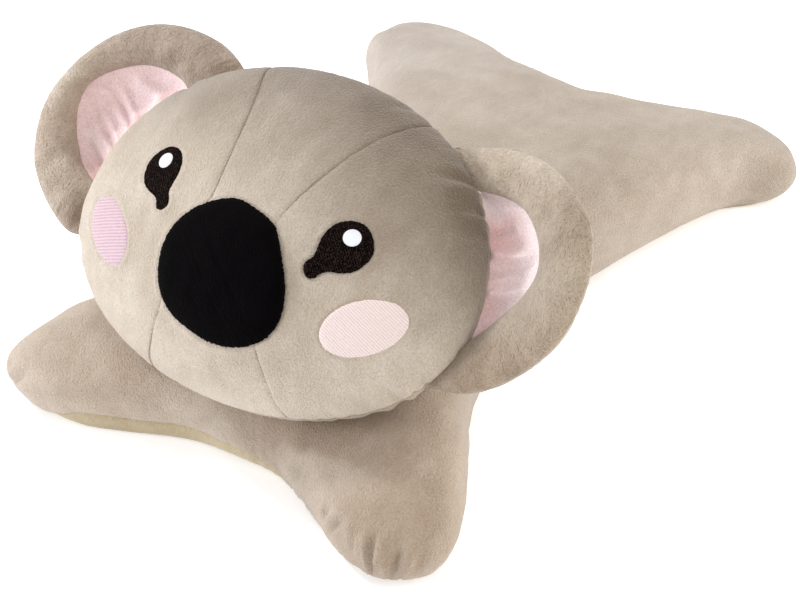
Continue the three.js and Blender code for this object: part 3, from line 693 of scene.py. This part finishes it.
# Creases pulled in from the seams: (start near the seam, end, width, depth)
BODY_CREASES = [
    ((190, -400, 34), (191, -374, 64), 2.6, 5.2),
    ((214, -391, 36), (209, -368, 64), 4.5, 5.2),
    ((228, -381, 38), (223, -362, 60), 5.0, 2.2),
    ((143, -385, 38), (164, -374, 62), 3.4, 3.8),
    ((128, -376, 38), (138, -373, 54), 3.0, 2.6),
    ((170, -394, 40), (173, -382, 58), 3.0, 1.8),
    ((78, -345, 36), (89, -341, 62), 2.4, 2.6),
    ((86, -349, 36), (98, -347, 62), 2.4, 2.6),
    ((-206, -374, 36), (-180, -366, 56), 4.5, 4.6),
]

# Where the seams pull most, seen from above: (x, y, size, added pull, added reach)
BODY_GATHERS = [(190, -375, 75, 1.2, 16), (30, -340, 55, 1.2, 10), (-200, -350, 60, 0.6, 0)]


def creases(places, normals, lines):
    """Valleys in a surface, deepest at their start, that widen and fade towards their end."""
    sink = np.zeros(places.shape[:-1])
    for start, end, width, depth in lines:
        run = np.array(end, float) - np.array(start, float)
        offset = places - np.array(start, float)
        share = (offset @ run) / (run @ run)
        side = unit(np.cross(run, normals))
        across = np.abs((offset * side).sum(-1)) / (width * (1 + 0.6 * np.clip(share, 0, 1)))
        valley = np.exp(-(across**2)) - 0.35 * np.exp(-((across - 2.1) ** 2))
        sink += depth * valley * smoothstep(1, 0.1, share) * smoothstep(-0.6, 0.1, share)
    return sink


def relief(points, normals, from_seam, along, top):
    """How far the body's surface stands proud of its smooth form."""
    rise = 1.6 * random_field(points, 95, 1) + 0.7 * random_field(points, 38, 2)
    rise = rise * smoothstep(0, 30, from_seam)
    pull, reach = 0.7, 14
    for x, y, size, harder, further in BODY_GATHERS:
        near = bump(np.hypot(points[..., 0] - x, points[..., 1] - y), size)
        pull = pull + harder * near
        reach = reach + further * near
    rise = rise - pull * ripples(along, 15, 7) * np.exp(-from_seam / (reach if top else 9))
    ribs = bump(np.hypot(points[..., 0] - 78, points[..., 1] + 348), 34)
    rise = rise - 2.6 * ribs * ripples(along, 8.5, 9) * np.exp(-from_seam / 20)
    if top:
        rise = rise - creases(points, normals, BODY_CREASES) * smoothstep(5, 20, from_seam)
    return rise - 2.6 * np.exp(-from_seam / 3.2)


def body_piece(name, rows, top, material, nodes):
    points = sample_rows(section, rows)
    normals = unit(sample_rows(section_normals, rows))
    from_seam = np.abs(sample_rows(down[..., None], rows)[..., 0] - seam_down)
    rise = relief(points, normals, from_seam, np.broadcast_to(edge_along, from_seam.shape), top)
    points = points + normals * rise[..., None]
    points[..., 2] = np.maximum(points[..., 2], 0.3)
    return skin(name, [(points, True)], material, "body", inside_body, nodes)


fillings = ["trunk_filling", *(limb + "_filling_" + side for limb in ("arm", "leg") for side in SIDES)]
share = np.linspace(0, 1, TOP_ROWS + 20)[:, None]
body_piece("body_top", seam_row * share, True, body_plush, ["body_top_panel", *fillings])
share = np.linspace(0, 1, UNDER_ROWS + FLOOR_ROWS + 10)[:, None]
belly_rows = seam_row + (len(section) - 1.001 - seam_row) * share
body_piece("body_belly", belly_rows, False, belly_knit, ["body_belly_panel"])

# Head, worked out in its own frame: x to the koala's left, y up the face, z out of it
face_up = np.array([0.0, math.cos(HEAD_TILT), math.sin(HEAD_TILT)])
face_out = np.array([0.0, -math.sin(HEAD_TILT), math.cos(HEAD_TILT)])


def head_world(local):
    """Points in the head's frame, placed in the shared frame."""
    local = np.asarray(local, float)
    across = local[..., :1] * np.array([1.0, 0.0, 0.0])
    return HEAD_CENTRE + across + local[..., 1:2] * face_up + local[..., 2:] * face_out


def head_share(x, y):
    """0 at the face's middle, 1 at the rim seam."""
    tall = np.where(y > 0, HEAD_CROWN, HEAD_CHIN)
    total = np.abs(x / HEAD_HALF_WIDTH) ** RIM_POWER + np.abs(y / tall) ** RIM_POWER
    return total ** (1 / RIM_POWER)


def rim_point(angle):
    x, y = np.cos(angle), np.sin(angle)
    reach = 1 / head_share(x, y)
    return np.stack([x * reach, y * reach], -1)


def rim_between(first, last, count):
    """Points on the rim seam, from the direction of one point to that of another."""
    angles = np.linspace(math.atan2(first[1], first[0]), math.atan2(last[1], last[0]), count)
    return rim_point(angles)


def face_height(x, y):
    return FACE_DEPTH * np.clip(1 - head_share(x, y) ** FACE_SLOPE, 0, None) ** FACE_ROUND


def face_normal(x, y, z):
    """Unit normal of the smooth face at points on it."""
    share = np.maximum(head_share(x, y), 1e-3)
    tall = np.where(y > 0, HEAD_CROWN, HEAD_CHIN)
    steep = FACE_SLOPE * share ** (FACE_SLOPE - RIM_POWER)
    across = steep * np.abs(x / HEAD_HALF_WIDTH) ** (RIM_POWER - 1) / HEAD_HALF_WIDTH * np.sign(x)
    up = steep * np.abs(y / tall) ** (RIM_POWER - 1) / tall * np.sign(y)
    out = (z / FACE_DEPTH) ** (1 / FACE_ROUND - 1) / FACE_ROUND / FACE_DEPTH
    return unit(np.stack([across, up, out], -1))


panel_curves = [open_curve(PANEL_SEAMS[name], 200) for name in ("left", "right")]


def panel_half(y, side):
    """Half width of the centre panel at a height up the face, left of its middle or right."""
    left, right = (np.interp(y, curve[:, 0], curve[:, 1]) for curve in panel_curves)
    return np.where(side > 0, left, right)


# Creases pulled in from the rim seam, across and up the face: (start, end, width, depth)
HEAD_CREASES = [
    ((74, 156), (46, 144), 3.5, 1.8),
    ((156, 112), (110, 98), 3.5, 3.0),
    ((146, 119), (122, 92), 4.0, 1.6),
    ((172, 92), (142, 84), 4.5, 2.4),
    ((182, 74), (150, 66), 5.0, 2.0),
    ((184, -60), (146, -50), 5.0, 2.6),
    ((170, -82), (140, -62), 5.0, 3.0),
    ((150, -100), (128, -78), 5.5, 2.2),
    ((122, -114), (108, -90), 5.0, 1.6),
    ((-150, 116), (-118, 90), 4.5, 2.2),
    ((-184, -60), (-150, -44), 5.0, 1.8),
]


def on_face(place):
    return (*place, float(face_height(*np.array(place, float))))


def rim_relief(x, y, near):
    """Gathers and the groove at the rim seam, near being the distance from it."""
    along = np.arctan2(y, x) * 165
    low_right = bump(np.hypot(x - 150, y + 85), 60)
    ears = bump(np.hypot(np.abs(x) - 150, y - 105), 45)
    pull = 0.8 + 1.4 * low_right + 1.4 * ears
    rise = -pull * ripples(along, 17, 21) * np.exp(-near / (11 + 8 * low_right + 8 * ears))
    lines = [(on_face(start), on_face(end), width, depth) for start, end, width, depth in HEAD_CREASES]
    normals = face_normal(x, y, near)
    rise = rise - creases(np.stack([x, y, near], -1), normals, lines) * smoothstep(0, 12, near)
    return rise - 2.2 * np.exp(-near / 2.4)


def frayed(outline, size, seed):
    """An outline with the uneven ends of its stitches or pile."""
    along = np.roll(outline, -1, 0) - np.roll(outline, 1, 0)
    out = unit(np.stack([along[:, 1], -along[:, 0]], 1))
    rng = np.random.default_rng(seed)
    return outline + out * size * rng.uniform(-1, 1, (len(outline), 1))


def cheek_outline():
    turn = full_turn(300)[:, None]
    long_way = np.array([math.cos(CHEEK_SLANT), math.sin(CHEEK_SLANT)])
    short_way = np.array([-math.sin(CHEEK_SLANT), math.cos(CHEEK_SLANT)])
    half_long, half_short = CHEEK_HALF
    along = half_long * np.cos(turn) * long_way
    return CHEEK_CENTRE + along + half_short * np.sin(turn) * short_way


# Outlines of the nose, then of the left and right eye and cheek
PATCH_OUTLINES = [frayed(closed_curve(NOSE_OUTLINE, 540), 0.55, 90)]
for name, sign in SIDES.items():
    eye = closed_curve(EYE_OUTLINE, 260) * [sign, 1] + [0, EYE_RISE[name]]
    PATCH_OUTLINES += [frayed(eye, 0.4, 91), frayed(cheek_outline() * [sign, 1], 0.3, 92)]


def face_relief(points):
    """How far the face stands proud of its smooth form, at points in the head's frame."""
    x, y, z = np.moveaxis(points, -1, 0)
    from_panel_seam = np.abs(np.abs(x) - panel_half(y, x)) * 0.9
    rise = 1.3 * random_field(points, 110, 4) + 0.35 * random_field(points, 32, 5)
    rise = rise * smoothstep(0, 25, z)
    rise = rise - 1.4 * np.exp(-from_panel_seam / 1.7)
    rise = rise - 0.5 * ripples(y, 9, 31) * np.exp(-from_panel_seam / 9)
    for outline in PATCH_OUTLINES:
        outside = -distance_inside(np.stack([x, y], -1).reshape(-1, 2), outline[::3]).reshape(x.shape)
        rise = rise + 0.9 * bump(outside - 3, 1.9)
    return rise + rim_relief(x, y, z)


def face_grid(x, y):
    """The face's surface over a grid of places across and up it, with its relief."""
    points = np.stack([x, y, face_height(x, y)], -1)
    return points + face_normal(x, y, points[..., 2]) * face_relief(points)[..., None]


def rim_crossing(share, low, high):
    """Height at which a line at a share of the centre panel's half width meets the rim."""
    inner, outer = np.full_like(share, low), np.full_like(share, high)
    for _ in range(40):
        middle = (inner + outer) / 2
        within = head_share(share * panel_half(middle, share), middle) < 1
        inner, outer = np.where(within, middle, inner), np.where(within, outer, middle)
    return (inner + outer) / 2


def head_piece(name, points, closed, material, nodes):
    """One piece of the head, over a grid of points in the head's frame."""
    grids = [(head_world(points), closed)]
    return skin(name, grids, material, "head", inside_head, nodes)


FACE_ROWS = 260
inside_head = head_world([0, 10, 5])
turns = eased(FACE_ROWS)
across = np.linspace(-1, 1, 61)
top = rim_crossing(across, 100.0, 175.0)
bottom = rim_crossing(across, -90.0, -140.0)
rows = bottom + (top - bottom) * turns[:, None]
centre = face_grid(across * panel_half(rows, across + 0 * rows), rows)
head_piece("face_centre", centre, False, face_plush, ["face_centre_panel"])


def panel_seam(sign):
    """The centre panel's seam on one side, as its half widths and heights."""
    heights = rows[:, -1 if sign > 0 else 0]
    return np.stack([panel_half(heights, sign), heights], 1)


outward = np.sin(np.linspace(0, math.pi / 2, 130))[None, :, None]
for name, sign in SIDES.items():
    seam_line = panel_seam(sign)
    rim_line = rim_between(seam_line[0], seam_line[-1], FACE_ROWS)
    side_places = seam_line[:, None] * (1 - outward) + rim_line[:, None] * outward
    side = face_grid(sign * side_places[..., 0], side_places[..., 1])
    head_piece("face_side_" + name, side, False, face_plush, ["face_side_panel_" + name])

shares = np.sin(np.linspace(0, math.pi / 2, 110))[:, None, None]
back_places = rim_point(full_turn(620))[None] * shares
back_depth = BACK_DEPTH * np.clip(1 - shares**2, 0, None) ** BACK_ROUND
back_points = np.concatenate([back_places, -back_depth + 0 * back_places[..., :1]], -1)
back_normals = grid_normals(back_points, np.zeros(3))
back_rise = rim_relief(back_points[..., 0], back_points[..., 1], -back_points[..., 2])
back_rise = back_rise + 1.2 * random_field(back_points, 90, 8) * smoothstep(0, 25, -back_points[..., 2])
back_points = back_points + back_normals * back_rise[..., None]
nodes = ["head_back_panel", "head_filling"]
head_piece("head_back", back_points, True, body_plush, nodes)


# Pieces sewn on the face
def patch(
    name, outline, centre, height, power, material, nodes, rings=26, edge=1.2, relief=None,
):
    """A raised patch that follows the face, its edge turned down into the pile."""
    shares = np.r_[np.sin(np.linspace(0, math.pi / 2, rings)), 1.0]
    lifts = np.r_[np.clip(1 - shares[:-1] ** power, 0, None) ** 0.5 * height, -edge]
    places = centre + (outline - centre) * shares[:, None, None]
    x, y = places[..., 0], places[..., 1]
    z = face_height(x, y)
    lift = lifts[:, None] + (relief(places, shares[:, None]) if relief is not None else 0)
    points = np.stack([x, y, z], -1) + face_normal(x, y, z) * lift[..., None]
    return head_piece(name, points, True, material, nodes)


def nose_relief(places, shares):
    gathers = ripples(places[..., 0] + places[..., 1], 13, 12)
    return (0.5 * random_field(places, 24, 11) - 0.6 * gathers) * (1 - shares)


patch(
    "nose", PATCH_OUTLINES[0], (4, -38), 8.5, 7, nose_plush, ["nose_cover", "nose_padding"],
    40, 2.5, nose_relief,
)

turn = full_turn(160)
glint = GLINT_CENTRE + GLINT_RADIUS * np.stack([np.cos(turn), np.sin(turn)], 1)
for (name, sign), eye, cheek in zip(SIDES.items(), PATCH_OUTLINES[1::2], PATCH_OUTLINES[2::2]):
    mirror = np.array([sign, 1])
    rise = np.array([0, EYE_RISE[name]])
    patch("eye_patch_" + name, eye, EYE_CENTRE * mirror + rise, 1.6, 12, eye_thread, ["eye_" + name])
    outline, centre = glint * mirror + rise, GLINT_CENTRE * mirror + rise
    patch("glint_patch_" + name, outline, centre, 2.6, 6, glint_thread, ["eye_glint_" + name])
    centre, thread = CHEEK_CENTRE * mirror, cheek_thread[name]
    patch("cheek_patch_" + name, cheek, centre, 1.3, 14, thread, ["cheek_" + name])

# Ears
EAR_COLUMNS = 320
ear_normal = unit(np.array([-EAR_SLOPES[0], -EAR_SLOPES[1], 1.0]))


def beyond_rim(x, y):
    """Distance outward from the rim seam, 0 within it."""
    return np.hypot(x, y) * (1 - 1 / np.maximum(head_share(x, y), 1))


def ear_depth(x, y):
    """Depth of the ear's seam: that of its root at the rim, then that of its tilted plane."""
    (x_at, y_at, depth), (across, up) = EAR_PLANE, EAR_SLOPES
    plane = depth + across * (x - x_at) + up * (y - y_at)
    share = smoothstep(0, EAR_ROOT_REACH, beyond_rim(x, y))
    return EAR_ROOT_DEPTH + (plane - EAR_ROOT_DEPTH) * share


def clear_of_rim(x, y):
    """0 at the rim seam, 1 where an ear is clear of it."""
    return smoothstep(0, RIM_CLEAR, beyond_rim(x, y))


def ear_creases(x, y, lines):
    lines = [((*start, 0), (*end, 0), width, depth) for start, end, width, depth in lines]
    return creases(np.stack([x, y, 0 * x], -1), np.array([0, 0, 1.0]), lines)


def ear_grid(inner, outer, turns, lift):
    """Points from an inner to an outer curve, lifted off the ear's seam surface."""
    places = inner[None] * (1 - turns[:, None, None]) + outer[None] * turns[:, None, None]
    x, y = places[..., 0], places[..., 1]
    flat = np.stack([x, y, ear_depth(x, y)], -1)
    return flat + ear_normal * lift(x, y, turns[:, None] + 0 * x)[..., None]


for name, sign in SIDES.items():
    outer = open_curve(EAR_OUTLINES[name], EAR_COLUMNS)
    lining = open_curve(LINING_OUTLINES[name], EAR_COLUMNS)
    lining_root = EAR_TUCK * rim_between(lining[0], lining[-1], EAR_COLUMNS)
    ear_root = EAR_TUCK * rim_between(outer[0], outer[-1], EAR_COLUMNS)
    seed = 40 if sign > 0 else 60
    along = np.linspace(0, 560, EAR_COLUMNS)
    mirror = np.array([sign, 1, 1])
    inside_ear = head_world(np.array([215, 50, -8]) * mirror)

    def roll(x, y, turns):
        full = np.clip(1 - np.abs(2 * turns - 1) ** 2.3, 0, None) ** 0.5
        high = EAR_ROLL * (0.25 + 0.75 * clear_of_rim(x, y))
        rough = 1.1 * random_field(np.stack([x, y], -1), 34, seed) * full
        pull = 1.3 * ripples(along + 0 * x, 21, seed + 1) * bump(1 - turns, 0.3)
        sink = ear_creases(x, y, RING_CREASES[name])
        drop = LINING_DROP * (1 - turns) * clear_of_rim(x, y)
        return high * full - pull + rough - sink * full - drop

    def dish(x, y, turns):
        drop = LINING_DROP * turns * clear_of_rim(x, y)
        hollow = -LINING_DISH * np.sin(math.pi * turns**0.9) - drop
        folds = 0
        for height, reach, width, high in LINING_FOLDS[name]:
            wander = 5 * random_field(x[..., None], 50, seed + 6)
            crest = bump(y - height - 0.4 * (x - 190) - wander, width) * smoothstep(0, 0.25, turns)
            folds = folds + high * crest * smoothstep(reach + 0.2, reach - 0.2, turns)
        sink = ear_creases(x, y, LINING_CREASES[name]) * smoothstep(1, 0.8, turns)
        return hollow + folds - sink + 0.8 * random_field(np.stack([x, y], -1), 26, seed + 3)

    def bulge(x, y, turns):
        full = np.clip(1 - turns**3, 0, None) ** 0.5
        pull = ripples(along + 0 * x, 21, seed + 1) * bump(1 - turns, 0.2)
        rough = 1.2 * random_field(np.stack([x, y], -1), 60, seed + 5) * full
        return -EAR_BACK * full + pull + rough

    ring = ear_grid(lining, outer, eased(70), roll)
    bowl = ear_grid(lining_root, lining, np.linspace(0, 1, 60), dish)
    back = ear_grid(ear_root, outer, np.sin(np.linspace(0, math.pi / 2, 80)), bulge)
    ring_nodes = ["ear_outer_panel_" + name, "ear_filling_" + name]
    for piece_name, grid, material, fill, nodes in (
        ("ear_ring_" + name, ring, ear_plush[name], 0.8, ring_nodes),
        ("ear_lining_" + name, bowl, lining_plush[name], 0.4, ["ear_inner_panel_" + name]),
        ("ear_back_" + name, back, ear_back_plush, 0.7, ["ear_back_panel_" + name]),
    ):
        grids = [(head_world(grid * mirror), False)]
        piece = skin(piece_name, grids, material, None, inside_ear, nodes)
        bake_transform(piece)

# Neck, a soft rolled seam between head and body
turn = full_turn(48)
along = np.linspace(-1, 1, 90)[:, None]
radius = NECK_DIAMETER / 2 * np.clip(1 - np.abs(along) ** 8, 0, None) ** 0.5
radius = radius * (1 - 0.12 * ripples(along * NECK_LENGTH / 2, 6, 71))
neck_y, neck_z = NECK_CENTRE[1] + radius * np.cos(turn), NECK_CENTRE[2] + radius * np.sin(turn)
neck = np.stack([along * NECK_LENGTH / 2 + 0 * turn, neck_y, neck_z], -1)
skin("neck_roll", [(neck, True)], neck_plush, "body", NECK_CENTRE, ["neck_seam"])


# Stitches along the two face seams
def stitch_line(sign):
    """Centres and directions of the stitches that show above and below the nose."""
    line = panel_seam(sign) * [sign, 1]
    places = np.stack([line[:, 0], line[:, 1], face_height(line[:, 0], line[:, 1])], 1)
    along = np.r_[0, np.cumsum(np.linalg.norm(np.diff(places, axis=0), axis=1))]
    stops = np.arange(6, along[-1] - 6, STITCH_PITCH)
    centres = np.stack([np.interp(stops, along, c) for c in places.T], 1)
    clear = (centres[:, 1] < NOSE_SPAN[0]) | (centres[:, 1] > NOSE_SPAN[1])
    return centres[clear], unit(np.gradient(centres, axis=0))[clear]


for name, sign in SIDES.items():
    centres, runs = stitch_line(sign)
    grids = []
    turns = full_turn(8)
    ends = np.sin(np.linspace(-math.pi / 2, math.pi / 2, 7))[:, None]
    width = np.sqrt(np.clip(1 - ends**2, 0, None)) * STITCH_HALF_WIDTH
    for centre_point, run in zip(centres, runs):
        out = face_normal(*[np.array([c]) for c in centre_point])[0]
        beside = np.cross(run, out)
        middle = centre_point - STITCH_SINK * out
        stitch = middle + ends[..., None] * STITCH_HALF_LENGTH * run
        stitch = stitch + (width * np.cos(turns))[..., None] * beside
        stitch = stitch + (width * np.sin(turns))[..., None] * out
        grids.append((head_world(stitch), True))
    skin("seam_stitches_" + name, grids, stitch_thread, "head", inside_head)



# Camera, floor, lights and white surroundings
def aimed(name, data, place, target):
    """An object at a place in metres, turned towards its target."""
    thing = bpy.data.objects.new(name, data)
    thing.location = place
    thing.rotation_euler = (Vector(target) - Vector(place)).to_track_quat("-Z", "Y").to_euler()
    bpy.context.collection.objects.link(thing)
    return thing


camera = bpy.data.cameras.new("camera")
camera.lens = 78.97  # with the place, found from the photograph, 800 by 600
camera.sensor_width = 36
bpy.context.scene.camera = aimed("camera", camera, (0.7488, -1.2331, 1.0512), (0, -0.044, 0))

floor_mesh = bpy.data.meshes.new("floor")
floor_corners = [(x, y, -0.0005) for x, y in ((-6, -6), (6, -6), (6, 6), (-6, 6))]
floor_mesh.from_pydata(floor_corners, [], [(0, 1, 2, 3)])
floor_material, floor_tree, floor_shader, floor_coords = new_material("floor_paper")
floor_shade = remap(floor_tree, noise(floor_tree, floor_coords, 3, 2), 0.3, 0.7, 0.93, 0.95)
floor_channels = [(channel, floor_shade) for channel in range(3)]
floor_colour = add(floor_tree, "ShaderNodeCombineColor", floor_channels)
floor_inputs = [("Base Color", floor_colour.outputs[0]), ("Roughness", 0.9)]
floor_inputs += [("Specular IOR Level", 0.1), ("Emission Color", (1, 1, 1, 1))]
set_inputs(floor_tree, floor_shader, [*floor_inputs, ("Emission Strength", 0.3)])
floor_mesh.materials.append(floor_material)
floor = bpy.data.objects.new("floor", floor_mesh)
bpy.context.collection.objects.link(floor)

world = bpy.data.worlds.new("surroundings")
bpy.context.scene.world = world
world.use_nodes = True
sky = world.node_tree
sky.nodes.clear()
soft = add(sky, "ShaderNodeBackground", [("Color", (1, 1, 1, 1)), ("Strength", 0.78)])
white = add(sky, "ShaderNodeBackground", [("Color", (1, 1, 1, 1)), ("Strength", 1.0)])
ray = add(sky, "ShaderNodeLightPath")
seen = maths(sky, "MAXIMUM", ray.outputs["Is Camera Ray"], ray.outputs["Is Glossy Ray"])
shown = add(sky, "ShaderNodeMixShader", [(0, seen), (1, soft.outputs[0]), (2, white.outputs[0])])
add(sky, "ShaderNodeOutputWorld", [("Surface", shown.outputs[0])])


def area_light(name, place, target, size, power, colour):
    light = bpy.data.lights.new(name, "AREA")
    light.shape = "DISK"
    light.size = size
    light.energy = power
    light.color = colour
    aimed(name, light, place, target)


area_light("key", (-1.7, -2.0, 0.75), (0, -0.2, 0.1), 1.1, 38.5, (0.83, 0.89, 1.0))
area_light("edge", (-1.5, -0.35, 1.45), (0.1, -0.2, 0.12), 0.22, 17, (1.0, 0.98, 0.96))
area_light("fill", (2.0, 0.5, 1.0), (0, 0.1, 0.05), 1.4, 26, (1.0, 0.97, 0.93))
area_light("top", (0.2, 0.9, 2.3), (0, 0.1, 0), 1.8, 5, (1.0, 1.0, 1.0))

bpy.context.scene.view_settings.view_transform = "Standard"
